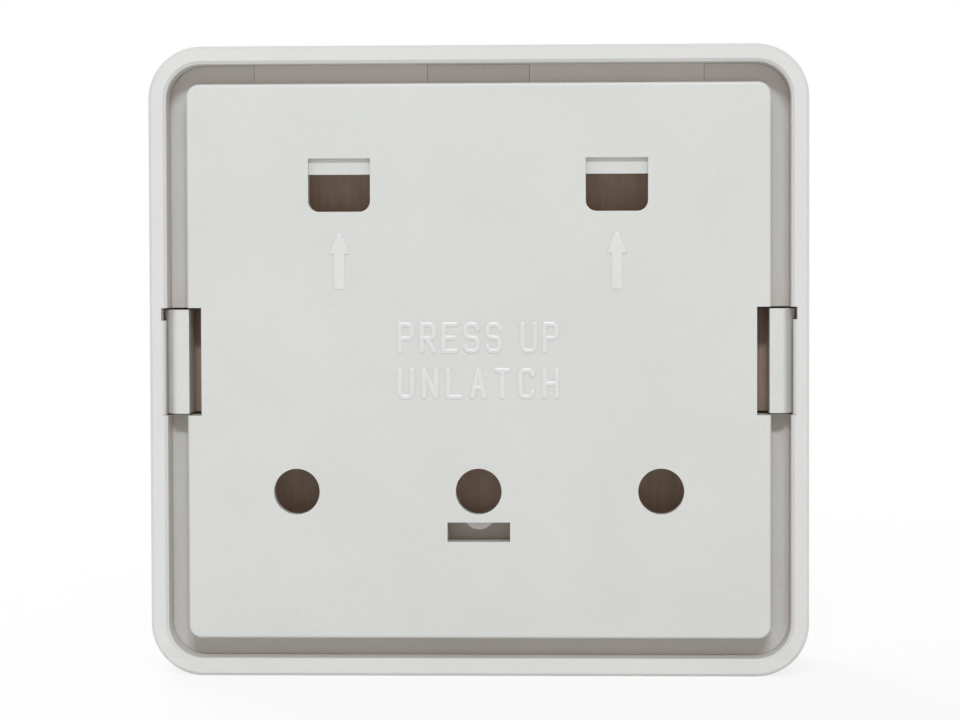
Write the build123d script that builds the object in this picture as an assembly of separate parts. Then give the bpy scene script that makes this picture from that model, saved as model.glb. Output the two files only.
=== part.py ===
from build123d import *
import os
from math import radians, tan

# Ethernet wall outlet, in millimetres.
# Each part is drawn lying on the wall plane: x across, y up, z the depth from the wall into the room.
# The finished part is then stood up, so that up is +Z, the wall side faces +Y and the ports face -Y.

# Case: the front cover's outline at the wall, its walls and its mould draft
case_width = 86.0
case_height = 82.3
case_corner = 6.9
rim_wall = 2.3
face_wall = 2.4
side_draft = 1.0
front_edge_radius = 4.0
inner_edge_chamfer = 1.2
rim_edge = 0.4

# Island plate and the channel round it
channel_width = 2.6
channel_depth = 4.0
plate_recess = 0.4
plate_wall = 1.85
plate_corner = 1.7
plate_edge_radius = 0.4
flange_wall = 1.6
flange_gap = 0.02

# Stepped windows near the plate's top edge
window_width = 8.1
window_height = 6.95
window_spacing = 36.2
window_drop = 9.75
window_corner = 1.4
step_height = 2.1
step_recess = 0.7

# Round holes in a row and the slot under the middle one
hole_diameter = 6.0
hole_spacing = 23.8
hole_rise = 19.25
slot_width = 8.2
slot_height = 2.55
slot_web = 1.05
nib_chord = 3.6
nib_reach = 1.0
nib_recess = 1.3
pocket_depth = 5.0
pocket_wall = 0.75

# Snap finger at each side: a U spring with a hooked head, caught behind a lip in the rim
finger_height = 13.6
finger_end_gap = 0.25
flex_gap = 1.65
spring_leg = 1.2
spring_depth = 6.4
web_overlap = 1.2
finger_drop = 0.7
finger_flat = 1.9
finger_round = 1.0
catch_reach = 0.65
catch_blunt = 0.5
catch_gap = 0.15
catch_lead = 1.0
lip_set_back = 0.25
lip_round = 0.8
lip_wall = 2.2
lip_window = 1.65

# Latch shelves on the cover's top wall, level with the channel's floor, and the plate's keepers
shelf_width = 22.8
shelf_wall = 1.4
shelf_gap = 0.08
shelf_side_gap = 0.05
latch_width = 8.0
latch_reach = 1.0
latch_lead = 0.7
latch_blunt = 0.5
latch_gap = 0.2
keeper_wall = 1.4
keeper_cheek = 2.0

# Ribs inside the cover that carry the plate's flange
rib_wall = 1.2
rib_reach = 2.0
side_rib_reach = 1.0
side_rib_spacing = 40.0
top_rib_spacing = 68.0

# Circuit board, its bosses and screws
board_overhang = 1.1
board_margin = 3.1
board_wall = 1.6
board_corner = 2.0
boss_side_inset = 8.2
boss_inset = 4.0
boss_diameter = 6.2
pilot_diameter = 2.5
pilot_depth = 9.0
screw_diameter = 2.4
screw_length = 8.0
screw_head_diameter = 5.6
screw_head_height = 1.9
screw_head_chamfer = 0.8
screw_cross_length = 3.0
screw_cross_width = 0.7
screw_cross_depth = 1.0
screw_hole_diameter = 3.2

# Modular jack: two of them side by side, contacts above and latch way below
jack_names = ("left", "right")
jack_spacing = 26.0
jack_rise = 1.0
jack_width = 15.5
jack_above = 9.0
jack_below = 7.7
jack_height = 15.5
jack_setback = 0.5
jack_face_gap = 0.2
nose_width = 14.0
nose_above = 5.1
nose_below = 7.1
nose_gap = 0.2
port_width = 11.9
port_height = 7.0
port_depth = 12.8
port_chamfer = 0.4
key_width = 6.2
key_height = 1.7
key_notch_width = 3.4
key_notch_height = 0.9
peg_diameter = 3.2
peg_spacing = 11.44
peg_drop = 1.5
peg_length = 2.4
peg_gap = 0.05
frame_wall = 1.2
frame_height = 4.0
frame_gap = 0.2
aperture_chamfer = 0.5

# Contact insert and its spring wires
ways = 8
contact_pitch = 1.02
contact_width = 0.46
contact_wall = 0.4
contact_bend = 0.7
contact_bend_steps = 3
contact_lean = 22.0
contact_leg = 7.0
contact_row = 2.54
tail_length = 1.0
tail_hole = 0.8
insert_margin = 1.3
insert_rise = 0.9
insert_height = 2.1
insert_stand = 2.0
insert_gap = 0.1
groove_gap = 0.08
roof_wall = 1.2

# Punch-down terminal blocks and their forked blades
terminal_pitch = 3.6
terminal_fin = 2.0
terminal_width = 7.6
terminal_height = 6.2
terminal_base = 2.6
terminal_edge = 6.4
terminal_rise = 3.0
terminal_clearance = 0.95
blade_width = 3.0
blade_wall = 0.5
blade_drop = 1.0
blade_slit = 0.36
blade_slit_depth = 3.0
blade_mouth = 1.2
blade_foot = 0.1
blade_gap = 0.1
blade_tail = 0.9
blade_hole_length = 1.2
blade_hole_width = 0.8

# Stack of depths from the wall plane
plate_back = plate_recess
plate_inside = plate_recess + plate_wall
flange_inside = channel_depth + flange_wall
board_back = plate_inside + terminal_clearance + terminal_height
board_front = board_back + board_wall
jack_front = board_front + jack_height
case_depth = jack_front + jack_setback
face_inside = case_depth - face_wall
jack_shoulder = face_inside - jack_face_gap
latch_end = channel_depth + latch_lead + latch_blunt
pocket_end = plate_back + pocket_depth

# Half sizes and places across and up
rim_half_width = case_width / 2 - rim_wall
rim_half_height = case_height / 2 - rim_wall
plate_half_width = rim_half_width - channel_width
plate_half_height = rim_half_height - channel_width
window_top = plate_half_height - window_drop
hole_line = -plate_half_height + hole_rise
slot_top = hole_line - hole_diameter / 2 - slot_web
relief_height = finger_height + 2 * finger_end_gap
relief_inside = plate_half_width - plate_wall
board_half_width = plate_half_width + board_overhang
board_half_height = plate_half_height - board_margin
boss_across = board_half_width - boss_side_inset
boss_up = board_half_height - boss_inset
terminal_across = board_half_width - terminal_edge - terminal_width / 2

LOW = (Align.CENTER, Align.CENTER, Align.MIN)
CORNER = (Align.MIN, Align.MIN)
SIDES = (-1, 1)
boss_places = [(right * boss_across, up * boss_up) for right in SIDES for up in SIDES]


def draft_at(depth):
    """How far a drafted side wall has come in at this depth."""
    return depth * tan(radians(side_draft))


def slab(width, height, near, far, across=0, up=0):
    """Plain block between two depths, centred across and up."""
    return Pos(across, up, near) * Box(width, height, far - near, align=LOW)


def band(left, right, bottom, top, near, far):
    """Plain block given by its edges."""
    return slab(right - left, top - bottom, near, far, (left + right) / 2, (bottom + top) / 2)


def round_bar(diameter, near, far, across, up):
    """Round bar along the depth."""
    return Pos(across, up, near) * Cylinder(diameter / 2, far - near, align=LOW)


def rounded_slab(half_width, half_height, corner, near, far, taper=0):
    """Block with rounded corners between two depths, drafted inwards by the taper."""
    outline = Pos(0, 0, near) * RectangleRounded(2 * half_width, 2 * half_height, corner)
    return extrude(outline, far - near, taper=taper)


def cross_section(sketch, length):
    """Sketch drawn across and along the depth, drawn out evenly upwards and downwards."""
    return extrude(Plane.XZ * sketch, length / 2, both=True)


def upright_section(sketch, length, across=0):
    """Sketch drawn upwards and along the depth, drawn out evenly to both sides."""
    return Pos(across, 0, 0) * extrude(Plane.YZ * sketch, length / 2, both=True)


def stand_up(part):
    """Turns a part from the drawing position to its place on the wall."""
    return Rot(90, 0, 0) * part


def jack_across(index):
    return (index - (len(jack_names) - 1) / 2) * jack_spacing


def terminal_side(index):
    return SIDES[index] * terminal_across


def contact_across(index, way):
    return jack_across(index) + (way - (ways - 1) / 2) * contact_pitch


def contact_tail_up(way):
    """Every other tail steps away into a second row, as on the real jack."""
    return contact_line + (way % 2) * contact_row


def blade_up(way):
    return terminal_rise + (way - (ways - 1) / 2) * terminal_pitch


# Contact wires run up a line inside the insert, from the board to under the jack's roof
port_top = jack_rise + port_height / 2
contact_line = port_top + insert_rise + 2 * contact_wall
insert_low = port_top + insert_rise
insert_high = insert_low + insert_height
insert_width = (ways - 1) * contact_pitch + contact_width + 2 * insert_margin
pocket_roof = jack_shoulder - roof_wall
contact_turn = pocket_roof - insert_gap - contact_wall / 2 - contact_bend


def finger_profile():
    """Right-hand snap finger: inner leg, U bend, outer leg and a rounded head that slopes to its hook."""
    leg_inside = relief_inside + flex_gap
    leg_outside = leg_inside + spring_leg
    head_edge = leg_inside + finger_flat
    catch_edge = lip_wall + catch_gap
    slope = (catch_edge - finger_drop) / (rim_half_width + lip_set_back - head_edge)
    tip = rim_half_width - draft_at(catch_edge) + catch_reach
    tip_near = finger_drop + slope * (tip - head_edge)
    tip_far = tip_near + catch_blunt
    head_far = tip_far + catch_lead * (tip - leg_outside)
    head = make_face(
        Polyline(
            (leg_inside, finger_drop),
            (head_edge, finger_drop),
            (tip, tip_near),
            (tip, tip_far),
            (leg_outside, head_far),
            (leg_inside, head_far),
            close=True,
        )
    )
    shoulder = head.vertices().sort_by_distance((head_edge, finger_drop))[0]
    head = fillet(shoulder, finger_round)
    bend_centre = relief_inside + flex_gap / 2
    bend_radius = flex_gap / 2 + spring_leg
    bend = Circle(bend_radius) - Circle(flex_gap / 2)
    bend -= Pos(0, -bend_radius) * Rectangle(4 * bend_radius, 2 * bend_radius)
    outer_leg = Pos(leg_inside + spring_leg / 2, finger_drop) * Rectangle(
        spring_leg, spring_depth - finger_drop, align=(Align.CENTER, Align.MIN)
    )
    inner_leg = Pos(relief_inside - spring_leg / 2, plate_back) * Rectangle(
        spring_leg, spring_depth - plate_back, align=(Align.CENTER, Align.MIN)
    )
    return head + outer_leg + inner_leg + Pos(bend_centre, spring_depth) * bend


def snap_finger():
    """Right-hand finger, with a web that ties its inner leg to the plate's side walls."""
    web_height = relief_height + 2 * web_overlap
    web = slab(spring_leg, web_height, plate_inside, flange_inside, relief_inside - spring_leg / 2)
    return cross_section(finger_profile(), finger_height) + web


def window_cut(across):
    """Window with rounded lower corners; its upper part is only a shallow step."""
    outline = Rectangle(window_width, window_height, align=(Align.CENTER, Align.MAX))
    outline = fillet(outline.vertices().group_by(Axis.Y)[0], window_corner)
    step = Rectangle(window_width, step_height, align=(Align.CENTER, Align.MAX))
    place = Pos(across, window_top, plate_back)
    return extrude(place * outline, step_recess) + extrude(place * (outline - step), plate_wall)


def slot_pocket():
    """Blind pocket behind the slot, which stops a screwdriver short of the board."""
    width = slot_width + 2 * pocket_wall
    height = slot_height + 2 * pocket_wall
    return slab(width, height, plate_back, pocket_end + pocket_wall, 0, slot_top - slot_height / 2)


def slot_cut():
    """Slot under the middle hole, with a half-round nib left standing on its upper wall."""
    slot = slab(slot_width, slot_height, plate_back, pocket_end, 0, slot_top - slot_height / 2)
    nib_radius = nib_chord**2 / (8 * nib_reach) + nib_reach / 2
    nib_centre = slot_top - nib_reach + nib_radius
    nib = round_bar(2 * nib_radius, plate_back + nib_recess, plate_inside, 0, nib_centre)
    return slot - nib


def make_back_plate():
    """Island plate with its flange, windows, holes, slot and snap fingers, moulded as one."""
    flange_corner = case_corner - rim_wall - flange_gap
    plate = rounded_slab(plate_half_width, plate_half_height, plate_corner, plate_back, flange_inside)
    plate = fillet(plate.edges().group_by(Axis.Z)[0], plate_edge_radius)
    flange_in = draft_at(channel_depth) + flange_gap
    flange_half_width = rim_half_width - flange_in
    flange_half_height = rim_half_height - flange_in
    plate += rounded_slab(
        flange_half_width, flange_half_height, flange_corner, channel_depth, flange_inside, side_draft
    )
    inside_width = 2 * relief_inside
    inside_height = 2 * (plate_half_height - plate_wall)
    plate -= slab(inside_width, inside_height, plate_inside, flange_inside)
    for side in SIDES:
        across = side * window_spacing / 2
        plate -= window_cut(across)
        plate -= slab(
            shelf_width + 2 * shelf_side_gap,
            2 * channel_width,
            channel_depth,
            flange_inside,
            across,
            plate_half_height + channel_width,
        )
        plate += slab(
            latch_width + 2 * latch_gap + 2 * keeper_cheek,
            plate_wall,
            channel_depth,
            latch_end + latch_gap + keeper_wall,
            across,
            plate_half_height - plate_wall / 2,
        )
        plate -= slab(
            latch_width + 2 * latch_gap,
            2 * plate_wall,
            channel_depth - latch_gap,
            latch_end + latch_gap,
            across,
            plate_half_height,
        )
        plate -= slab(
            2 * (flange_half_width - relief_inside),
            relief_height,
            0,
            flange_inside,
            side * flange_half_width,
        )
    for place in (-1, 0, 1):
        plate -= round_bar(hole_diameter, plate_back, plate_inside, place * hole_spacing, hole_line)
    plate = plate + slot_pocket() - slot_cut()
    finger = snap_finger()
    return plate + finger + mirror(finger, about=Plane.YZ)


def latch_shelf(across):
    """Shelf level with the channel's floor, with a hook that snaps through the plate's top wall."""
    low = plate_half_height + shelf_gap
    high = rim_half_height + rim_wall / 2
    shelf = Pos(low, channel_depth) * Rectangle(high - low, shelf_wall, align=CORNER)
    hook = make_face(
        Polyline(
            (low, channel_depth),
            (low - latch_reach, channel_depth + latch_lead),
            (low - latch_reach, latch_end),
            (low, latch_end),
            close=True,
        )
    )
    return upright_section(shelf, shelf_width, across) + upright_section(hook, latch_width, across)


def flange_ribs():
    """Ribs down the cover's walls that the plate's flange sits on."""
    ribs = []
    deep = face_inside + face_wall / 2
    side_edge = rim_half_width + rim_wall / 2
    side_reach = rim_half_width - draft_at(flange_inside) - side_rib_reach
    top_edge = rim_half_height + rim_wall / 2
    top_reach = rim_half_height - draft_at(flange_inside) - rib_reach
    half = rib_wall / 2
    for up in (-side_rib_spacing / 2, side_rib_spacing / 2):
        ribs.append(band(side_reach, side_edge, up - half, up + half, flange_inside, deep))
        ribs.append(band(-side_edge, -side_reach, up - half, up + half, flange_inside, deep))
    for across in (-top_rib_spacing / 2, 0, top_rib_spacing / 2):
        ribs.append(band(across - half, across + half, top_reach, top_edge, flange_inside, deep))
        ribs.append(band(across - half, across + half, -top_edge, -top_reach, flange_inside, deep))
    return ribs


def jack_frame(across):
    """Low wall on the inside of the face that locates one jack."""
    half_width = jack_width / 2 + frame_gap
    bottom = jack_rise - jack_below - frame_gap
    top = jack_rise + jack_above + frame_gap
    near = face_inside - frame_height
    deep = face_inside + face_wall / 2
    outer = band(
        across - half_width - frame_wall,
        across + half_width + frame_wall,
        bottom - frame_wall,
        top + frame_wall,
        near,
        deep,
    )
    return outer - band(across - half_width, across + half_width, bottom, top, near, face_inside)


def nose_cut(across):
    """Opening in the face for one jack's nose."""
    half_width = nose_width / 2 + nose_gap
    bottom = jack_rise - nose_below - nose_gap
    top = jack_rise + nose_above + nose_gap
    return band(across - half_width, across + half_width, bottom, top, face_inside, case_depth)


def rim_notch():
    """Right-hand notch in the rim: a way in over a rounded lip, a window in the lip and the hook's pocket."""
    inside = rim_half_width - channel_width / 2
    lip_edge = rim_half_width + lip_set_back
    lip = Pos(lip_edge, 0) * Rectangle(2 * lip_round, lip_wall, align=CORNER)
    lip = fillet(lip.vertices().sort_by_distance((lip_edge, 0))[0], lip_round)
    way_in = Pos(inside, 0) * Rectangle(lip_edge + lip_round - inside, lip_wall, align=CORNER)
    hook_edge = rim_half_width - draft_at(lip_wall) + catch_reach + catch_gap
    hook_space = Pos(inside, lip_wall) * Rectangle(hook_edge - inside, flange_inside - lip_wall, align=CORNER)
    window_bottom = relief_height / 2 - lip_window
    window = band(inside, hook_edge, window_bottom, relief_height / 2, 0, flange_inside)
    return cross_section(way_in - lip + hook_space, relief_height) + window


def make_front_cover():
    """Deep cap with the rim, ribs, bosses, jack frames and latch shelves, moulded as one."""
    outside = rounded_slab(case_width / 2, case_height / 2, case_corner, 0, case_depth, side_draft)
    outside = fillet(outside.edges().group_by(Axis.Z)[-1], front_edge_radius)
    inner_corner = case_corner - rim_wall
    inside = rounded_slab(rim_half_width, rim_half_height, inner_corner, 0, face_inside, side_draft)
    inside = chamfer(inside.edges().group_by(Axis.Z)[-1], inner_edge_chamfer)
    cover = outside - inside
    cover = chamfer(cover.faces().sort_by(Axis.Z)[0].edges(), rim_edge)
    added = flange_ribs()
    added += [latch_shelf(side * window_spacing / 2) for side in SIDES]
    added += [jack_frame(jack_across(index)) for index in range(len(jack_names))]
    deep = face_inside + face_wall / 2
    added += [round_bar(boss_diameter, board_front, deep, across, up) for across, up in boss_places]
    cover = cover + [piece & outside for piece in added]
    notch = rim_notch()
    removed = [notch, mirror(notch, about=Plane.YZ)]
    pilot_end = board_front + pilot_depth
    removed += [round_bar(pilot_diameter, board_front, pilot_end, across, up) for across, up in boss_places]
    removed += [nose_cut(jack_across(index)) for index in range(len(jack_names))]
    cover = cover - removed
    face = cover.faces().sort_by(Axis.Z)[-1]
    lips = [edge for loop in face.inner_wires() for edge in loop.edges()]
    return chamfer(lips, aperture_chamfer)


def make_board():
    """Board with holes for its screws, the jacks' pegs, the contact tails and the blade tails."""
    board = rounded_slab(board_half_width, board_half_height, board_corner, board_back, board_front)
    depths = (board_back, board_front)
    holes = [round_bar(screw_hole_diameter, *depths, across, up) for across, up in boss_places]
    for index in range(len(jack_names)):
        for side in SIDES:
            across = jack_across(index) + side * peg_spacing / 2
            holes.append(round_bar(peg_diameter + 2 * peg_gap, *depths, across, jack_rise - peg_drop))
        for way in range(ways):
            across = contact_across(index, way)
            holes.append(slab(tail_hole, tail_hole, *depths, across, contact_tail_up(way)))
            across = terminal_side(index)
            holes.append(slab(blade_hole_width, blade_hole_length, *depths, across, blade_up(way)))
    return board - holes


def make_screw(across, up):
    """Pan-head screw with a cross recess, through the board into one of the cover's bosses."""
    top = board_back - screw_head_height
    head = round_bar(screw_head_diameter, top, board_back, across, up)
    head = chamfer(head.edges().group_by(Axis.Z)[0], screw_head_chamfer)
    head -= slab(screw_cross_length, screw_cross_width, top, top + screw_cross_depth, across, up)
    head -= slab(screw_cross_width, screw_cross_length, top, top + screw_cross_depth, across, up)
    return head + round_bar(screw_diameter, board_back, board_back + screw_length, across, up)


def make_screws():
    """One group of like screws, one for each boss."""
    return Compound([make_screw(across, up).solid() for across, up in boss_places])


def make_housing(index):
    """Jack body with its nose, its T-shaped port, the pocket for the insert and two board pegs."""
    across = jack_across(index)
    body_middle = jack_rise + (jack_above - jack_below) / 2
    nose_middle = jack_rise + (nose_above - nose_below) / 2
    body = slab(jack_width, jack_above + jack_below, board_front, jack_shoulder, across, body_middle)
    body += slab(nose_width, nose_above + nose_below, jack_shoulder, jack_front, across, nose_middle)
    key_top = jack_rise - port_height / 2
    notch_top = key_top - key_height
    port = Pos(across, jack_rise) * Rectangle(port_width, port_height)
    port += Pos(across, key_top - key_height / 2) * Rectangle(key_width, key_height)
    port += Pos(across, notch_top - key_notch_height / 2) * Rectangle(key_notch_width, key_notch_height)
    body -= extrude(Pos(0, 0, jack_front - port_depth) * port, port_depth)
    left = across - insert_width / 2 - insert_gap
    right = across + insert_width / 2 + insert_gap
    body -= band(left, right, port_top, insert_high + insert_gap, board_front, pocket_roof)
    recess_top = contact_line + contact_row + tail_hole / 2
    body -= band(left, right, port_top, recess_top, board_front, board_front + insert_stand)
    for side in SIDES:
        peg_place = (across + side * peg_spacing / 2, jack_rise - peg_drop)
        body += round_bar(peg_diameter, board_front - peg_length, board_front, *peg_place)
    front = body.faces().sort_by(Axis.Z)[-1]
    lips = [edge for loop in front.inner_wires() for edge in loop.edges()]
    # The chamfer takes at most half of the wall beside the port
    nose_wall = (nose_width - port_width) / 2
    return chamfer(lips, min(port_chamfer, nose_wall / 2))


def make_insert(index):
    """Comb that stands in the jack's pocket, with one groove for each wire."""
    across = jack_across(index)
    near = board_front + insert_stand
    block = slab(
        insert_width, insert_height, near, pocket_roof - insert_gap, across, (insert_low + insert_high) / 2
    )
    groove_width = contact_width + 2 * groove_gap
    groove_top = contact_line + contact_wall / 2 + groove_gap
    grooves = []
    for way in range(ways):
        middle = contact_across(index, way)
        left = middle - groove_width / 2
        right = middle + groove_width / 2
        grooves.append(band(left, right, insert_low, groove_top, near, pocket_roof))
    return block - grooves


def make_contact(index, way):
    """Spring wire: tail through the board, run up the insert, turn back and lean into the port."""
    tail_up = contact_tail_up(way)
    tail_end = board_back - tail_length
    jog_depth = board_front + insert_stand / 2
    if tail_up > contact_line:
        rise = Polyline(
            (tail_up, tail_end),
            (tail_up, jog_depth),
            (contact_line, jog_depth),
            (contact_line, contact_turn),
        )
    else:
        rise = Line((tail_up, tail_end), (contact_line, contact_turn))
    arc = JernArc((contact_line, contact_turn), (0, 1), contact_bend, 180 - contact_lean)
    turn = Polyline([arc @ (step / contact_bend_steps) for step in range(contact_bend_steps + 1)])
    leg = PolarLine(arc @ 1, contact_leg, direction=arc % 1)
    ribbon = trace([rise, turn, leg], contact_wall)
    return upright_section(ribbon, contact_width, contact_across(index, way))


def make_terminal(index):
    """Comb block: one base, a fin between each two ways, and a pocket for each blade."""
    across = terminal_side(index)
    length = ways * terminal_pitch + terminal_fin
    top = board_back - terminal_height
    block = slab(terminal_width, length, top, board_back, across, terminal_rise)
    cuts = []
    for way in range(ways):
        up = blade_up(way)
        cuts.append(
            slab(terminal_width, terminal_pitch - terminal_fin, top, board_back - terminal_base, across, up)
        )
        cuts.append(
            slab(blade_wall + 2 * blade_gap, blade_width + 2 * blade_gap, top, board_back, across, up)
        )
    return block - cuts


def make_blade(index, way):
    """Forked blade: the slit grips one wire, the tail goes through the board."""
    tip = board_back - terminal_height + blade_drop
    foot = board_back - blade_foot
    profile = Pos(0, (tip + foot) / 2) * Rectangle(blade_width, foot - tip)
    tail_end = board_front + tail_length
    profile += Pos(0, (foot + tail_end) / 2) * Rectangle(blade_tail, tail_end - foot)
    profile -= Pos(0, tip + blade_slit_depth / 2) * Rectangle(blade_slit, blade_slit_depth)
    profile -= make_face(
        Polyline((-blade_mouth / 2, tip), (blade_mouth / 2, tip), (0, tip + blade_mouth), close=True)
    )
    return Pos(0, blade_up(way), 0) * upright_section(profile, blade_wall, terminal_side(index))


def make_parts():
    parts = {
        "front_cover": make_front_cover(),
        "back_plate": make_back_plate(),
        "circuit_board": make_board(),
        "board_screws": make_screws(),
    }
    for index, name in enumerate(jack_names):
        parts[f"jack_{name}_housing"] = make_housing(index)
        parts[f"jack_{name}_insert"] = make_insert(index)
        parts[f"terminal_{name}_block"] = make_terminal(index)
        for way in range(ways):
            parts[f"jack_{name}_contact_{way + 1}"] = make_contact(index, way)
            parts[f"terminal_{name}_blade_{way + 1}"] = make_blade(index, way)
    return parts


os.makedirs("parts", exist_ok=True)
for node, part in make_parts().items():
    export_step(stand_up(part), f"parts/{node}.step")
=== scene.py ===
from math import cos, pi, radians, sin

import bmesh
import bpy
from bpy.props import FloatProperty, FloatVectorProperty, PointerProperty, StringProperty
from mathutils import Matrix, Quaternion, Vector


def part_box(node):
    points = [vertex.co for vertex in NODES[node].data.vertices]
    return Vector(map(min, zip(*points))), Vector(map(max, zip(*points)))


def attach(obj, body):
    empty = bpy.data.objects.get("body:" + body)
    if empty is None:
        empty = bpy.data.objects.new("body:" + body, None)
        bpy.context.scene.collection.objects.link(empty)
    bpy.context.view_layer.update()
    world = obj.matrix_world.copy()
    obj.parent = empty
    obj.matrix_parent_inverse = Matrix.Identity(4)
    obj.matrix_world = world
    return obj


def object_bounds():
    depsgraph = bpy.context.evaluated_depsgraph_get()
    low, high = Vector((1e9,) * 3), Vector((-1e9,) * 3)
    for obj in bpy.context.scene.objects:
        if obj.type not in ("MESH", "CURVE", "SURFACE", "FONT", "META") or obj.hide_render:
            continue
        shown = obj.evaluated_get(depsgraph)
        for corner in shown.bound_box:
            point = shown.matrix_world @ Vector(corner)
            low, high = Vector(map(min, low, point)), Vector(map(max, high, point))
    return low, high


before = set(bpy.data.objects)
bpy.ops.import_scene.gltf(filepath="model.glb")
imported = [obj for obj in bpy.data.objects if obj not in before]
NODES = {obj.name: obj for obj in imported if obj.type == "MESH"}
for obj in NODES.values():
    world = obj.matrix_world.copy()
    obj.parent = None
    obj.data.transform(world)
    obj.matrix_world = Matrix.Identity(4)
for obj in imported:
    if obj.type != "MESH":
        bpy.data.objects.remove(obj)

bl_info = {
    "name": "Ethernet wall outlet",
    "version": (1, 0, 0),
    "blender": (4, 5, 0),
    "location": "View3D > Sidebar > Outlet",
    "description": "Finishes the outlet's mouldings, board, jacks and terminals, and its stage",
    "category": "Object",
}

CAD_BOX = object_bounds()
MM = 0.001
WHITE = (1, 1, 1)
SIDES = (-1, 1)
JACKS = ("left", "right")
WAYS = range(1, 9)

# The plate's back face, the opening in the rim round its flange, and the board's two faces
PLATE_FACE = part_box("back_plate")[1].y
PLATE_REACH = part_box("back_plate")[1]
RIM_SLACK = 0.1 * MM
RIM_OPENING = (PLATE_REACH.x + RIM_SLACK, PLATE_REACH.z + RIM_SLACK)
BOARD_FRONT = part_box("circuit_board")[0].y
BOARD_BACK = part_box("circuit_board")[1].y

# Roughness of the white mouldings: the outlet's skin, the marks on it, and the parts inside
SATIN = 0.36
POLISHED = 0.3
PLAIN = 0.45


def length(name, description, millimetres):
    """Property for a size on the outlet."""
    return FloatProperty(
        name=name,
        description=description,
        default=millimetres * MM,
        precision=5,
        subtype="DISTANCE",
        unit="LENGTH",
    )


def colour(name, description, red, green, blue):
    """Property for the colour of a finish or a lamp."""
    return FloatVectorProperty(
        name=name,
        description=description,
        default=(red, green, blue),
        size=3,
        min=0,
        max=1,
        subtype="COLOR",
    )


def span(name, description, metres):
    """Property for a length on the stage."""
    return FloatProperty(
        name=name, description=description, default=metres, subtype="DISTANCE", unit="LENGTH"
    )


def angle(name, description, degrees):
    """Property for a turn of the camera."""
    return FloatProperty(
        name=name, description=description, default=radians(degrees), subtype="ANGLE"
    )


def power(name, description, watts):
    """Property for a lamp's power."""
    return FloatProperty(name=name, description=description, default=watts, unit="POWER")


def spot(name, description, across, deep, up):
    """Property for the place of a lamp, in metres from the outlet."""
    return FloatVectorProperty(
        name=name,
        description=description,
        default=(across, deep, up),
        size=3,
        subtype="TRANSLATION",
        unit="LENGTH",
    )


class OutletFinish(bpy.types.PropertyGroup):
    """Colours of the outlet's mouldings, board and metal."""

    shell: colour("Cover", "Satin white of the front cover", 0.73, 0.73, 0.695)
    plate: colour("Back plate", "Satin white of the back plate", 0.69, 0.695, 0.66)
    # Painted highlight: the marks' white is lighter than the plate's, standing in for the light
    # their raised backs catch; polish only lowers their roughness
    marks: colour("Raised marks", "White of the marks, brighter from polish", 0.745, 0.75, 0.72)
    board: colour("Board", "Tan of the pressed paper board", 0.885, 0.655, 0.495)
    jack: colour("Jack", "Black of the jack bodies", 0.022, 0.022, 0.024)
    insert: colour("Insert", "Ivory of the contact inserts", 0.62, 0.58, 0.48)
    terminal: colour("Terminal", "White of the terminal combs", 0.66, 0.66, 0.64)
    contact: colour("Contact", "Gold flash on the spring wires", 0.83, 0.60, 0.24)
    tin: colour("Tin", "Tin plate on the terminal blades", 0.66, 0.65, 0.63)
    zinc: colour("Zinc", "Bright zinc on the screws", 0.60, 0.60, 0.57)
    solder: colour("Solder", "Solder round each tail", 0.58, 0.58, 0.58)
    # Painted shade: the channel and slot tints darken and warm the white where it lies closed in,
    # standing in for shade
    channel: colour("Channel tint", "Dull tone of the white in the channel", 0.85, 0.825, 0.85)
    slot: colour("Slot tint", "Dull, warm tone of the white deep in a slot", 0.90, 0.74, 0.63)
    # Painted shade: this tint dyes the white brown as deep as the snap fingers' bends, standing in
    # for shade
    bend: colour("Bend tint", "Brown tone in the bends of the snap fingers", 0.82, 0.66, 0.58)


class OutletMarks(bpy.types.PropertyGroup):
    """Sizes of the marks that stand proud of the back plate."""

    relief: length("Relief", "How far the marks stand proud of the plate", 0.18)
    sink: length("Sink", "How far the marks reach into the plate", 0.15)
    arrow_spacing: length("Arrow spacing", "Distance between the arrows, as of the windows", 36.2)
    arrow_top: length("Arrow top", "Height of the arrow tips over the outlet's middle", 16.75)
    arrow_length: length("Arrow length", "Length from tip to tail", 7.4)
    arrow_head: length("Arrow head", "Length of the head", 2.75)
    arrow_width: length("Arrow width", "Width across the head", 2.8)
    arrow_tip: length("Arrow tip width", "Width of the blunt tip", 0.55)
    arrow_shaft: length("Arrow shaft", "Width of the shaft", 1.45)
    arrow_edge: length("Arrow edge", "Rounding along the arrow's edges", 0.3)
    arrow_step: length("Arrow step", "How far the shaft lies under the head", 0.03)
    upper_words: StringProperty(
        name="Upper words", description="First line of the hint", default="PRESS UP"
    )
    lower_words: StringProperty(
        name="Lower words", description="Second line of the hint", default="UNLATCH"
    )
    words_width: length("Words width", "Length of each line of words", 21.2)
    letter_height: length("Letter height", "Height of the capitals", 4.2)
    letter_width: length("Letter width", "Width of a capital", 2.3)
    letter_stroke: length("Letter stroke", "Width of the raised strokes", 0.72)
    letter_corner: length("Letter corner", "Radius of the round letters' corners", 0.6)
    letter_step: length("Letter step", "How far a stroke lies under the one before", 0.006)
    line_spacing: length("Line spacing", "Distance between the two lines", 6.0)
    words_rise: length("Words rise", "Height of the words' middle over the outlet's middle", 0.1)


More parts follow.
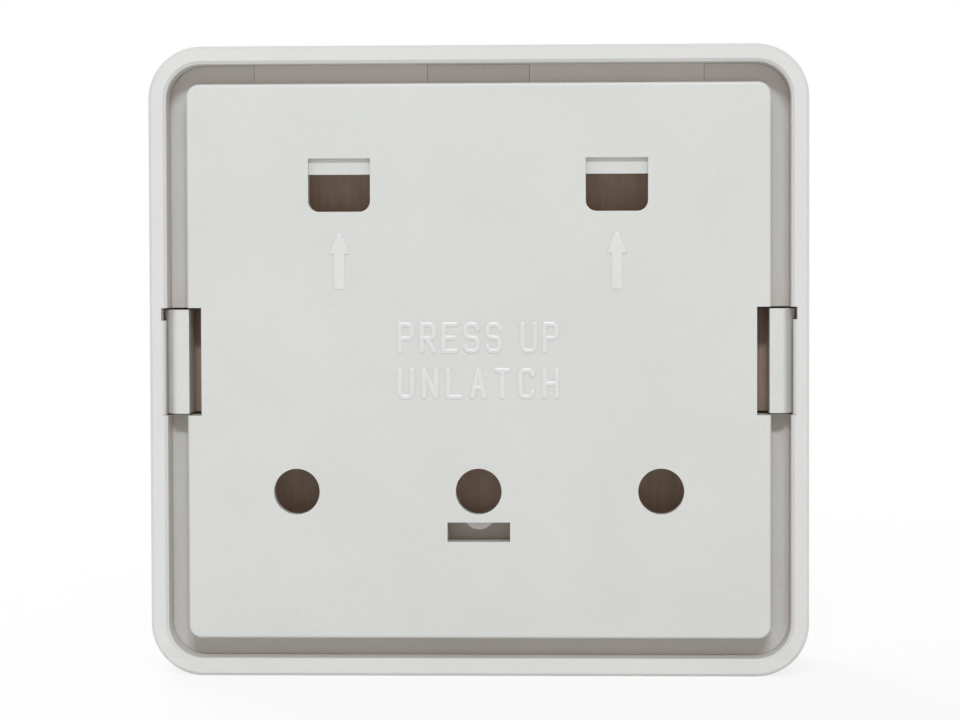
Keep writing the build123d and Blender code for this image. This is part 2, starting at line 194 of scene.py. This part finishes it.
class OutletStage(bpy.types.PropertyGroup):
    """Camera, lamps and floor."""

    distance: span("Distance", "Camera to the rim", 0.4)
    lens: FloatProperty(name="Lens", description="Focal length", default=115.2, unit="CAMERA")
    yaw: angle("Yaw", "Camera off the back's middle, to its right", 2.34)
    pitch: angle("Pitch", "Camera above the back's middle", 1.91)
    roll: angle("Roll", "Camera's own turn", -0.18)
    aim_across: length("Aim across", "Aim point across", -0.25)
    aim_up: length("Aim up", "Aim point upwards", 0.2)
    lamp_tint: colour("Lamp tint", "Cool daylight of both lamps", 0.83, 0.93, 1.0)
    key_power: power("Key lamp", "Lamp over the back", 20.5)
    key_spot: spot("Key spot", "Where the key lamp stands", -0.1, 1.565, 1.245)
    key_width: span("Key width", "Length of the key lamp's strip", 0.7)
    key_height: span("Key height", "Height of the key lamp's strip", 0.16)
    front_power: power("Front lamp", "Lamp over the ports", 5.0)
    front_spot: spot("Front spot", "Where the front lamp stands", 0.35, -0.75, 0.6)
    front_size: span("Front size", "Width and height of the front lamp", 0.45)
    fill: colour("Fill", "Soft warm light from all round", 0.50, 0.44, 0.42)
    floor: colour("Floor", "Pale floor", 0.86, 0.86, 0.855)
    floor_radius: span("Floor radius", "How far the floor reaches", 4.0)


class Finish:
    """One procedural finish: a shader with colour, gloss and grain worked out on the surface."""

    def __init__(self, name, metal=0.0):
        self.material = bpy.data.materials.new(name)
        self.material.use_nodes = True
        self.tree = self.material.node_tree
        self.shader = self.tree.nodes["Principled BSDF"]
        self.shader.inputs["Metallic"].default_value = metal
        self.point = self.tree.nodes.new("ShaderNodeTexCoord").outputs["Object"]

    def stretched(self, across, deep, up):
        """Surface point stretched along the three axes, for grain that runs one way."""
        node = self.tree.nodes.new("ShaderNodeMapping")
        node.inputs["Scale"].default_value = (across, deep, up)
        self.tree.links.new(self.point, node.inputs["Vector"])
        return node.outputs["Vector"]

    def noise(self, size, detail=3.0, point=None):
        """Soft noise whose blots are about this many metres across."""
        node = self.tree.nodes.new("ShaderNodeTexNoise")
        node.inputs["Scale"].default_value = 1 / size
        node.inputs["Detail"].default_value = detail
        self.tree.links.new(point or self.point, node.inputs["Vector"])
        return node.outputs["Fac"]

    def openness(self, reach):
        """How open the surface lies, by what is within reach: 1 if bare, near 0 deep in a slot."""
        node = self.tree.nodes.new("ShaderNodeAmbientOcclusion")
        node.samples = 4
        node.inputs["Distance"].default_value = reach
        return node.outputs["AO"]

    def within(self, half_width, half_height):
        """1 inside this frame round the middle of the back, 0 outside it."""
        size = self.tree.nodes.new("ShaderNodeVectorMath")
        size.operation = "ABSOLUTE"
        self.tree.links.new(self.point, size.inputs[0])
        parts = self.tree.nodes.new("ShaderNodeSeparateXYZ")
        self.tree.links.new(size.outputs["Vector"], parts.inputs["Vector"])
        across = self.math("LESS_THAN", parts.outputs["X"], half_width)
        up = self.math("LESS_THAN", parts.outputs["Z"], half_height)
        return self.math("MULTIPLY", across, up)

    def sunk(self, near, far):
        """0 to 1 as the surface lies from near to far, in metres, below the back plate's face."""
        parts = self.tree.nodes.new("ShaderNodeSeparateXYZ")
        self.tree.links.new(self.point, parts.inputs["Vector"])
        node = self.tree.nodes.new("ShaderNodeMapRange")
        node.inputs["From Min"].default_value = PLATE_FACE - near
        node.inputs["From Max"].default_value = PLATE_FACE - far
        self.tree.links.new(parts.outputs["Y"], node.inputs["Value"])
        return node.outputs["Result"]

    def facing_back(self, least):
        """1 where the surface looks out of the outlet's back, falling to the least elsewhere."""
        surface = self.tree.nodes.new("ShaderNodeNewGeometry")
        parts = self.tree.nodes.new("ShaderNodeSeparateXYZ")
        self.tree.links.new(surface.outputs["Normal"], parts.inputs["Vector"])
        return self.math("MAXIMUM", parts.outputs["Y"], least)

    def math(self, operation, first, second):
        """Result of one sum on a value and another value or a number."""
        node = self.tree.nodes.new("ShaderNodeMath")
        node.operation = operation
        self.tree.links.new(first, node.inputs[0])
        if isinstance(second, bpy.types.NodeSocket):
            self.tree.links.new(second, node.inputs[1])
        else:
            node.inputs[1].default_value = second
        return node.outputs["Value"]

    def ramp(self, value, low, high, start=0.3, end=0.7, between=None):
        """Blend of two colours as the value goes from start to end, by way of a (place, colour)."""
        node = self.tree.nodes.new("ShaderNodeValToRGB")
        first, last = node.color_ramp.elements
        first.position = start
        first.color = (*low, 1)
        last.position = end
        last.color = (*high, 1)
        if between:
            place, tone = between
            node.color_ramp.elements.new(place).color = (*tone, 1)
        self.tree.links.new(value, node.inputs["Fac"])
        return node.outputs["Color"]

    def tinted(self, under, tint, amount=None):
        """One colour dyed by another, all over or by an amount that changes on the surface."""
        node = self.tree.nodes.new("ShaderNodeMix")
        node.data_type = "RGBA"
        node.blend_type = "MULTIPLY"
        node.inputs["Factor"].default_value = 1
        if amount:
            self.tree.links.new(amount, node.inputs["Factor"])
        self.tree.links.new(under, node.inputs["A"])
        self.tree.links.new(tint, node.inputs["B"])
        return node.outputs["Result"]

    def colour(self, socket):
        """Colour of the surface."""
        self.tree.links.new(socket, self.shader.inputs["Base Color"])

    def gloss(self, value, low, high):
        """Roughness that wanders between two values."""
        node = self.tree.nodes.new("ShaderNodeMapRange")
        node.inputs["To Min"].default_value = low
        node.inputs["To Max"].default_value = high
        self.tree.links.new(value, node.inputs["Value"])
        self.tree.links.new(node.outputs["Result"], self.shader.inputs["Roughness"])

    def grain(self, value, depth):
        """Fine relief of this depth in metres, over any grain there already."""
        node = self.tree.nodes.new("ShaderNodeBump")
        node.inputs["Distance"].default_value = depth
        node.inputs["Strength"].default_value = 1
        self.tree.links.new(value, node.inputs["Height"])
        normal = self.shader.inputs["Normal"]
        if normal.is_linked:
            self.tree.links.new(normal.links[0].from_socket, node.inputs["Normal"])
        self.tree.links.new(node.outputs["Normal"], normal)


def shade(base, factor):
    """A colour made lighter or darker."""
    return tuple(min(1.0, part * factor) for part in base)


def moulded(name, base, rough, variation=0.02, dull=None, bend=None):
    """Moulded plastic: faint clouds of tone, fine speckle, a lightly etched skin and slow waves.

    With a pair of dull tints, for channel and slots, faces deep in the rim get painted shade,
    darker and warmer the less open air they see.
    With a tint for the fingers' bends, faces as deep as those bends get a painted brown shade too.
    """
    finish = Finish(name)
    clouds = finish.noise(14 * MM)
    tone = finish.ramp(clouds, shade(base, 1 - variation), shade(base, 1 + variation))
    speckle = finish.noise(0.5 * MM, 2)
    tone = finish.tinted(tone, finish.ramp(speckle, (0.97, 0.97, 0.965), WHITE))
    if dull:
        channel, slot = dull
        # Painted shade: inside the rim's opening, faces that look out of the back are darkened and
        # warmed the less open air they see
        slot_open, channel_open, bare = 0.08, 0.3, 0.95
        open_air = finish.openness(5 * MM)
        shadow = finish.ramp(open_air, slot, WHITE, slot_open, bare, (channel_open, channel))
        amount = finish.math("MULTIPLY", finish.within(*RIM_OPENING), finish.facing_back(0.5))
        tone = finish.tinted(tone, shadow, amount)
    # Painted shade: faces as deep as the snap fingers' bends are dyed brown, standing in for shade
    # deep in the finger slots
    if bend:
        in_bend = finish.sunk(4.8 * MM, 6.2 * MM)
        tone = finish.tinted(tone, finish.ramp(in_bend, WHITE, bend, 0.25, 1))
    finish.colour(tone)
    finish.gloss(finish.noise(3 * MM), rough - 0.05, rough + 0.07)
    etched_depth = 0.006 * MM
    wave_depth = 0.048 * MM
    finish.grain(finish.noise(0.35 * MM, 2), etched_depth)
    finish.grain(finish.noise(9 * MM, 1), wave_depth)
    finish.shader.inputs["IOR"].default_value = 1.49
    return finish.material


def pressed_board(name, base):
    """Brown pressed paper board: long fibres, blotches of resin and a dull skin."""
    finish = Finish(name)
    resin = finish.ramp(finish.noise(6 * MM, 5), shade(base, 0.86), shade(base, 1.1))
    fibres = finish.noise(0.6 * MM, 4, finish.stretched(1, 1, 0.12))
    streaks = finish.ramp(fibres, (0.88, 0.86, 0.84), WHITE, 0.35, 0.65)
    finish.colour(finish.tinted(resin, streaks))
    finish.gloss(fibres, 0.45, 0.65)
    finish.grain(fibres, 0.012 * MM)
    return finish.material


def plated(name, base, rough):
    """Plated metal: faint drawing lines, dull patches and a slightly uneven skin."""
    finish = Finish(name, metal=1.0)
    patches = finish.noise(2 * MM, 4)
    lines = finish.noise(0.25 * MM, 3, finish.stretched(1, 0.05, 1))
    tone = finish.ramp(patches, shade(base, 0.84), shade(base, 1.05))
    drawn = finish.ramp(lines, (0.9, 0.9, 0.9), WHITE)
    finish.colour(finish.tinted(tone, drawn))
    finish.gloss(lines, rough - 0.06, rough + 0.12)
    finish.grain(lines, 0.004 * MM)
    return finish.material


def dress(names, material):
    """Gives CAD nodes their finish."""
    for name in names:
        slots = NODES[name].data.materials
        slots.clear()
        slots.append(material)


def place(name, mesh, material, slot):
    """Puts a finished piece on the outlet's one body."""
    bmesh.ops.recalc_face_normals(mesh, faces=mesh.faces)
    data = bpy.data.meshes.new(name)
    mesh.to_mesh(data)
    mesh.free()
    data.materials.append(material)
    piece = bpy.data.objects.new(name, data)
    bpy.context.scene.collection.objects.link(piece)
    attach(piece, "root")
    return piece


def on_plate(across, up, proud):
    """Point on the back plate, as seen from behind: across runs to the right, towards -X."""
    return Vector((-across, PLATE_FACE + proud, up))


def rounded_path(points, radius):
    """Flat path through these points, with an arc of this radius at each inner corner."""
    steps = 8
    points = [Vector(point) for point in points]
    path = [points[0]]
    for before, corner, after in zip(points, points[1:], points[2:]):
        back = (before - corner).normalized()
        ahead = (after - corner).normalized()
        half_turn = back.angle(ahead) / 2
        middle = corner + (back + ahead).normalized() * radius / sin(half_turn)
        reach = radius * cos(half_turn) / sin(half_turn)
        start = (corner + back * reach - middle).normalized()
        end = (corner + ahead * reach - middle).normalized()
        for step in range(steps + 1):
            path.append(middle + start.slerp(end, step / steps) * radius)
    path.append(points[-1])
    return path


def raised_stroke(mesh, path, width, relief, sink):
    """Adds one raised stroke along a flat path: rounded back and ends, foot sunk in the plate."""
    arc_steps = 8
    turn_steps = 5
    weld = 0.001 * MM
    half = width / 2
    turns = [pi * step / arc_steps for step in range(arc_steps + 1)]
    arc = [(cos(turn), relief * sin(turn)) for turn in turns]
    profile = [(1, -sink)] + arc + [(-1, -sink)]
    rows = []

    def add_row(point, along, swing):
        left = Vector((-along.y, along.x))
        row = []
        for side, proud in profile:
            outward = left * (1 if side > 0 else -1)
            aside = (outward * cos(swing) + along * sin(swing)) * half * abs(side)
            row.append(mesh.verts.new(on_plate(*(point + aside), proud)))
        rows.append(row)

    first = (path[1] - path[0]).normalized()
    last = (path[-1] - path[-2]).normalized()
    for step in range(turn_steps, 0, -1):
        add_row(path[0], first, -pi / 2 * step / turn_steps)
    for index, point in enumerate(path):
        before = path[max(index - 1, 0)]
        after = path[min(index + 1, len(path) - 1)]
        add_row(point, (after - before).normalized(), 0)
    for step in range(1, turn_steps + 1):
        add_row(path[-1], last, pi / 2 * step / turn_steps)
    for near, far in zip(rows, rows[1:]):
        for index in range(len(profile)):
            following = (index + 1) % len(profile)
            mesh.faces.new((near[index], near[following], far[following], far[index]))
    bmesh.ops.remove_doubles(mesh, verts=[vert for row in rows for vert in row], dist=weld)


# Strokes of the capitals that the hint needs, in letter widths and heights
LETTERS = {
    "A": [((0, 0), (0.5, 1)), ((0.5, 1), (1, 0)), ((0.2, 0.35), (0.8, 0.35))],
    "C": [((1, 0.82), (1, 1), (0, 1), (0, 0), (1, 0), (1, 0.18))],
    "E": [((0, 0), (0, 1)), ((0, 1), (1, 1)), ((0, 0.5), (0.85, 0.5)), ((0, 0), (1, 0))],
    "H": [((0, 0), (0, 1)), ((1, 0), (1, 1)), ((0, 0.5), (1, 0.5))],
    "L": [((0, 1), (0, 0)), ((0, 0), (1, 0))],
    "N": [((0, 0), (0, 1)), ((0, 1), (1, 0)), ((1, 0), (1, 1))],
    "P": [((0, 0), (0, 1)), ((0, 1), (1, 1), (1, 0.48), (0, 0.48))],
    "R": [((0, 0), (0, 1)), ((0, 1), (1, 1), (1, 0.48), (0, 0.48)), ((0.45, 0.48), (1, 0))],
    "S": [((1, 0.82), (1, 1), (0, 1), (0, 0.52), (1, 0.48), (1, 0), (0, 0), (0, 0.18))],
    "T": [((0, 1), (1, 1)), ((0.5, 0), (0.5, 1))],
    "U": [((0, 1), (0, 0), (1, 0), (1, 1))],
}


def letter_strokes(letter, marks):
    """Flat paths of one capital, with its lower left corner at the origin."""
    wide = marks.letter_width - marks.letter_stroke
    tall = marks.letter_height - marks.letter_stroke
    for stroke in LETTERS[letter]:
        points = [(across * wide, up * tall) for across, up in stroke]
        shortest = min((Vector(b) - Vector(a)).length for a, b in zip(points, points[1:]))
        yield rounded_path(points, min(marks.letter_corner, shortest))


def raised_words(words, middle_up, marks):
    """One line of raised capitals, spread evenly over the words' width."""
    mesh = bmesh.new()
    stroke = marks.letter_stroke
    low = middle_up - (marks.letter_height - stroke) / 2
    gap = 0.6
    cells = sum(gap if letter == " " else 1 for letter in words)
    pitch = (marks.words_width - marks.letter_width) / (cells - 1)
    across = -(marks.words_width - stroke) / 2
    for letter in words:
        if letter == " ":
            across += gap * pitch
            continue
        corner = Vector((across, low))
        for index, path in enumerate(letter_strokes(letter, marks)):
            # Strokes that meet have backs of their own height, so that they share no face
            relief = marks.relief - index * marks.letter_step
            raised_stroke(mesh, [corner + point for point in path], stroke, relief, marks.sink)
        across += pitch
    return mesh


def inset(outline, distance):
    """Corners of a convex outline with each side moved inwards by a distance."""
    corners = []
    earlier = outline[-1:] + outline[:-1]
    later = outline[1:] + outline[:1]
    for before, corner, after in zip(earlier, outline, later):
        back = (before - corner).normalized()
        ahead = (after - corner).normalized()
        reach = distance / sin(back.angle(ahead) / 2)
        corners.append(corner + (back + ahead).normalized() * reach)
    return corners


def raised_slab(mesh, outline, edge, relief, sink):
    """Adds one raised slab over a convex outline: rounded top edge, foot sunk in the plate."""
    steps = 5
    levels = [(0, -sink)]
    for step in range(steps + 1):
        turn = pi / 2 * step / steps
        levels.append((edge * (1 - cos(turn)), relief * sin(turn)))
    rows = []
    for inward, proud in levels:
        corners = inset(outline, inward)
        rows.append([mesh.verts.new(on_plate(*corner, proud)) for corner in corners])
    count = len(outline)
    for near, far in zip(rows, rows[1:]):
        for index in range(count):
            following = (index + 1) % count
            mesh.faces.new((near[index], near[following], far[following], far[index]))
    mesh.faces.new(rows[0])
    mesh.faces.new(rows[-1])


def raised_arrow(across, marks):
    """Upward arrow: a blunt head over a straight shaft."""
    mesh = bmesh.new()
    tip = marks.arrow_top
    neck = tip - marks.arrow_head
    tail = tip - marks.arrow_length
    lap = neck + marks.arrow_head / 3
    head = [(marks.arrow_width / 2, neck), (marks.arrow_tip / 2, tip)]
    shaft = [(marks.arrow_shaft / 2, tail), (marks.arrow_shaft / 2, lap)]
    for right, relief in ((head, marks.relief), (shaft, marks.relief - marks.arrow_step)):
        outline = right + [(-side, up) for side, up in reversed(right)]
        corners = [Vector((across + side, up)) for side, up in outline]
        raised_slab(mesh, corners, marks.arrow_edge, relief, marks.sink)
    return mesh


def solder_cone(mesh, foot, outward, reach, radius):
    """Adds one solder joint: a hollow-sided cone round a tail, standing on the board."""
    around = 16
    steps = 6
    waist = 0.3
    rows = []
    for step in range(steps + 1):
        climb = step / steps
        ring_radius = radius * (waist + (1 - waist) * (1 - climb) ** 2)
        row = []
        for index in range(around):
            turn = 2 * pi * index / around
            ring = Vector((cos(turn), 0, sin(turn))) * ring_radius
            row.append(mesh.verts.new(foot + ring + outward * reach * climb))
        rows.append(row)
    for near, far in zip(rows, rows[1:]):
        for index in range(around):
            following = (index + 1) % around
            mesh.faces.new((near[index], near[following], far[following], far[index]))
    mesh.faces.new(rows[0])
    mesh.faces.new(rows[-1])


class OUTLET_OT_cover(bpy.types.Operator):
    """Finish the front cover as satin white moulding"""

    bl_idname = "outlet.cover"
    bl_label = "Front cover"

    def execute(self, context):
        finish = context.scene.outlet_finish
        # Painted shade in the channel and slots inside the rim
        dull = (finish.channel, finish.slot)
        dress(["front_cover"], moulded("satin_cover", finish.shell, SATIN, dull=dull))
        return {"FINISHED"}


class OUTLET_OT_plate(bpy.types.Operator):
    """Finish the back plate as satin white moulding"""

    bl_idname = "outlet.plate"
    bl_label = "Back plate"

    def execute(self, context):
        finish = context.scene.outlet_finish
        # Painted shade in the channel and slots inside the rim
        dull = (finish.channel, finish.slot)
        # Painted brown shade in the snap fingers' bends
        satin = moulded("satin_plate", finish.plate, SATIN, dull=dull, bend=finish.bend)
        dress(["back_plate"], satin)
        return {"FINISHED"}


class OUTLET_OT_arrows(bpy.types.Operator):
    """Raise an arrow under each window of the back plate"""

    bl_idname = "outlet.arrows"
    bl_label = "Raised arrows"

    def execute(self, context):
        marks = context.scene.outlet_marks
        material = moulded("arrow_white", context.scene.outlet_finish.marks, POLISHED)
        for side, name in zip(SIDES, JACKS):
            mesh = raised_arrow(side * marks.arrow_spacing / 2, marks)
            place(f"raised_arrow_{name}", mesh, material, "plate_white")
        return {"FINISHED"}


class OUTLET_OT_words(bpy.types.Operator):
    """Raise the two lines of the hint on the back plate"""

    bl_idname = "outlet.words"
    bl_label = "Raised words"

    def execute(self, context):
        marks = context.scene.outlet_marks
        material = moulded("words_white", context.scene.outlet_finish.marks, POLISHED)
        step = marks.line_spacing / 2
        lines = {"upper": (marks.upper_words, step), "lower": (marks.lower_words, -step)}
        for name, (words, rise) in lines.items():
            mesh = raised_words(words, marks.words_rise + rise, marks)
            place(f"raised_words_{name}", mesh, material, "plate_white")
        return {"FINISHED"}


class OUTLET_OT_board(bpy.types.Operator):
    """Finish the board as brown pressed paper"""

    bl_idname = "outlet.board"
    bl_label = "Circuit board"

    def execute(self, context):
        tan = context.scene.outlet_finish.board
        dress(["circuit_board"], pressed_board("pressed_board_tan", tan))
        return {"FINISHED"}


class OUTLET_OT_screws(bpy.types.Operator):
    """Finish the board's screws in bright zinc"""

    bl_idname = "outlet.screws"
    bl_label = "Board screws"

    def execute(self, context):
        zinc = context.scene.outlet_finish.zinc
        dress(["board_screws"], plated("bright_zinc", zinc, rough=0.3))
        return {"FINISHED"}


class OUTLET_OT_jacks(bpy.types.Operator):
    """Finish the jack bodies, their inserts and their spring wires"""

    bl_idname = "outlet.jacks"
    bl_label = "Jacks"

    def execute(self, context):
        finish = context.scene.outlet_finish
        housings = [f"jack_{name}_housing" for name in JACKS]
        dress(housings, moulded("black_moulding", finish.jack, rough=0.38, variation=0.12))
        inserts = [f"jack_{name}_insert" for name in JACKS]
        dress(inserts, moulded("ivory_moulding", finish.insert, PLAIN))
        wires = [f"jack_{name}_contact_{way}" for name in JACKS for way in WAYS]
        dress(wires, plated("gold_flash", finish.contact, rough=0.22))
        return {"FINISHED"}


class OUTLET_OT_terminals(bpy.types.Operator):
    """Finish the terminal combs and their forked blades"""

    bl_idname = "outlet.terminals"
    bl_label = "Terminals"

    def execute(self, context):
        finish = context.scene.outlet_finish
        combs = [f"terminal_{name}_block" for name in JACKS]
        dress(combs, moulded("comb_moulding", finish.terminal, PLAIN))
        blades = [f"terminal_{name}_blade_{way}" for name in JACKS for way in WAYS]
        dress(blades, plated("tin_plate", finish.tin, rough=0.34))
        return {"FINISHED"}


class OUTLET_OT_solder(bpy.types.Operator):
    """Solder each wire's tail at the board's back and each blade's tail at its front"""

    bl_idname = "outlet.solder"
    bl_label = "Solder joints"

    def execute(self, context):
        mesh = bmesh.new()
        reach = 0.75 * MM
        wire_half = 0.2 * MM
        wire_joint = 0.48 * MM
        blade_joint = 0.9 * MM
        for name in JACKS:
            for way in WAYS:
                low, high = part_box(f"jack_{name}_contact_{way}")
                foot = Vector(((low.x + high.x) / 2, BOARD_BACK, high.z - wire_half))
                solder_cone(mesh, foot, Vector((0, 1, 0)), reach, wire_joint)
                low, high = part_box(f"terminal_{name}_blade_{way}")
                foot = Vector(((low.x + high.x) / 2, BOARD_FRONT, (low.z + high.z) / 2))
                solder_cone(mesh, foot, Vector((0, -1, 0)), reach, blade_joint)
        material = plated("solder_grey", context.scene.outlet_finish.solder, rough=0.2)
        piece = place("solder_joints", mesh, material, "blade_tin")
        piece.data.polygons.foreach_set("use_smooth", [True] * len(piece.data.polygons))
        return {"FINISHED"}


def soft_lamp(name, watts, tint, where, width, height):
    """Soft lamp that looks at the middle of the back."""
    data = bpy.data.lights.new(name, "AREA")
    data.energy = watts
    data.color = tint
    data.shape = "RECTANGLE"
    data.size = width
    data.size_y = height
    lamp = bpy.data.objects.new(name, data)
    lamp.location = where
    lamp.rotation_euler = (-Vector(where)).to_track_quat("-Z", "Y").to_euler()
    bpy.context.scene.collection.objects.link(lamp)


def background_rays(tree):
    """1 for the rays that show the background: straight, mirrored, or through clear material."""
    rays = tree.nodes.new("ShaderNodeLightPath")
    shown = rays.outputs["Is Camera Ray"]
    for kind in ("Is Glossy Ray", "Is Transmission Ray"):
        either = tree.nodes.new("ShaderNodeMath")
        either.operation = "MAXIMUM"
        tree.links.new(shown, either.inputs[0])
        tree.links.new(rays.outputs[kind], either.inputs[1])
        shown = either.outputs["Value"]
    return shown


def pale_world(fill):
    """White behind the object, and a soft warm fill on its surfaces."""
    world = bpy.data.worlds.new("studio")
    bpy.context.scene.world = world
    world.use_nodes = True
    tree = world.node_tree
    mix = tree.nodes.new("ShaderNodeMix")
    mix.data_type = "RGBA"
    mix.inputs["A"].default_value = (*fill, 1)
    mix.inputs["B"].default_value = (*WHITE, 1)
    tree.links.new(background_rays(tree), mix.inputs["Factor"])
    tree.links.new(mix.outputs["Result"], tree.nodes["Background"].inputs["Color"])


def pale_floor(base):
    """Pale floor that keeps the object's shadow near it and fades to white further off."""
    finish = Finish("floor_pale")
    finish.colour(finish.ramp(finish.noise(0.2), shade(base, 0.99), shade(base, 1.01)))
    finish.gloss(finish.noise(0.05), 0.7, 0.8)
    shadow_near, shadow_far, shadow_white = 0.05, 0.3, 0.82
    tree = finish.tree
    away = tree.nodes.new("ShaderNodeVectorMath")
    away.operation = "LENGTH"
    tree.links.new(finish.point, away.inputs[0])
    fade = tree.nodes.new("ShaderNodeMapRange")
    fade.inputs["From Min"].default_value = shadow_near
    fade.inputs["From Max"].default_value = shadow_far
    fade.inputs["To Min"].default_value = shadow_white
    tree.links.new(away.outputs["Value"], fade.inputs["Value"])
    seen = tree.nodes.new("ShaderNodeMath")
    seen.operation = "MULTIPLY"
    tree.links.new(background_rays(tree), seen.inputs[0])
    tree.links.new(fade.outputs["Result"], seen.inputs[1])
    glow = tree.nodes.new("ShaderNodeEmission")
    mix = tree.nodes.new("ShaderNodeMixShader")
    tree.links.new(seen.outputs["Value"], mix.inputs["Fac"])
    tree.links.new(finish.shader.outputs["BSDF"], mix.inputs[1])
    tree.links.new(glow.outputs["Emission"], mix.inputs[2])
    tree.links.new(mix.outputs["Shader"], tree.nodes["Material Output"].inputs["Surface"])
    return finish.material


class OUTLET_OT_stage(bpy.types.Operator):
    """Set the floor, the lamps, the white surroundings and the camera"""

    bl_idname = "outlet.stage"
    bl_label = "Stage"

    def execute(self, context):
        scene = context.scene
        stage = scene.outlet_stage
        scene.view_settings.view_transform = "Standard"
        pale_world(stage.fill)
        self.lay_floor(stage)
        key_size = (stage.key_width, stage.key_height)
        soft_lamp("key_lamp", stage.key_power, stage.lamp_tint, stage.key_spot, *key_size)
        front_size = (stage.front_size, stage.front_size)
        soft_lamp("front_lamp", stage.front_power, stage.lamp_tint, stage.front_spot, *front_size)
        self.set_camera(scene, stage)
        return {"FINISHED"}

    def lay_floor(self, stage):
        """Puts a round floor under the outlet."""
        mesh = bmesh.new()
        bmesh.ops.create_circle(mesh, cap_ends=True, segments=64, radius=stage.floor_radius)
        data = bpy.data.meshes.new("floor")
        mesh.to_mesh(data)
        mesh.free()
        data.materials.append(pale_floor(stage.floor))
        floor = bpy.data.objects.new("floor", data)
        floor.location.z = CAD_BOX[0].z
        bpy.context.scene.collection.objects.link(floor)

    def set_camera(self, scene, stage):
        """Puts the camera behind the outlet, at the photograph's angle."""
        data = bpy.data.cameras.new("camera")
        data.lens = stage.lens
        data.clip_start = 0.01
        camera = bpy.data.objects.new("camera", data)
        level = cos(stage.pitch)
        back = Vector((-sin(stage.yaw) * level, cos(stage.yaw) * level, sin(stage.pitch)))
        aim = Vector((stage.aim_across, 0, stage.aim_up))
        camera.location = aim + back * stage.distance
        turn = Quaternion((0, 0, 1), stage.roll)
        camera.rotation_mode = "QUATERNION"
        camera.rotation_quaternion = (-back).to_track_quat("-Z", "Y") @ turn
        scene.collection.objects.link(camera)
        scene.camera = camera


STEPS = (
    OUTLET_OT_cover,
    OUTLET_OT_plate,
    OUTLET_OT_arrows,
    OUTLET_OT_words,
    OUTLET_OT_board,
    OUTLET_OT_screws,
    OUTLET_OT_jacks,
    OUTLET_OT_terminals,
    OUTLET_OT_solder,
    OUTLET_OT_stage,
)


class OUTLET_PT_panel(bpy.types.Panel):
    """Lists the steps that dress the outlet"""

    bl_label = "Ethernet wall outlet"
    bl_idname = "OUTLET_PT_panel"
    bl_space_type = "VIEW_3D"
    bl_region_type = "UI"
    bl_category = "Outlet"

    def draw(self, context):
        for step in STEPS:
            self.layout.operator(step.bl_idname)


GROUPS = {"outlet_finish": OutletFinish, "outlet_marks": OutletMarks, "outlet_stage": OutletStage}


def register():
    for group in GROUPS.values():
        bpy.utils.register_class(group)
    for name, group in GROUPS.items():
        setattr(bpy.types.Scene, name, PointerProperty(type=group))
    for step in STEPS:
        bpy.utils.register_class(step)
    bpy.utils.register_class(OUTLET_PT_panel)


def unregister():
    bpy.utils.unregister_class(OUTLET_PT_panel)
    for step in reversed(STEPS):
        bpy.utils.unregister_class(step)
    for name in GROUPS:
        delattr(bpy.types.Scene, name)
    for group in reversed(GROUPS.values()):
        bpy.utils.unregister_class(group)


def main():
    register()
    for step in STEPS:
        family, action = step.bl_idname.split(".")
        getattr(getattr(bpy.ops, family), action)()


if __name__ == "__main__":
    main()
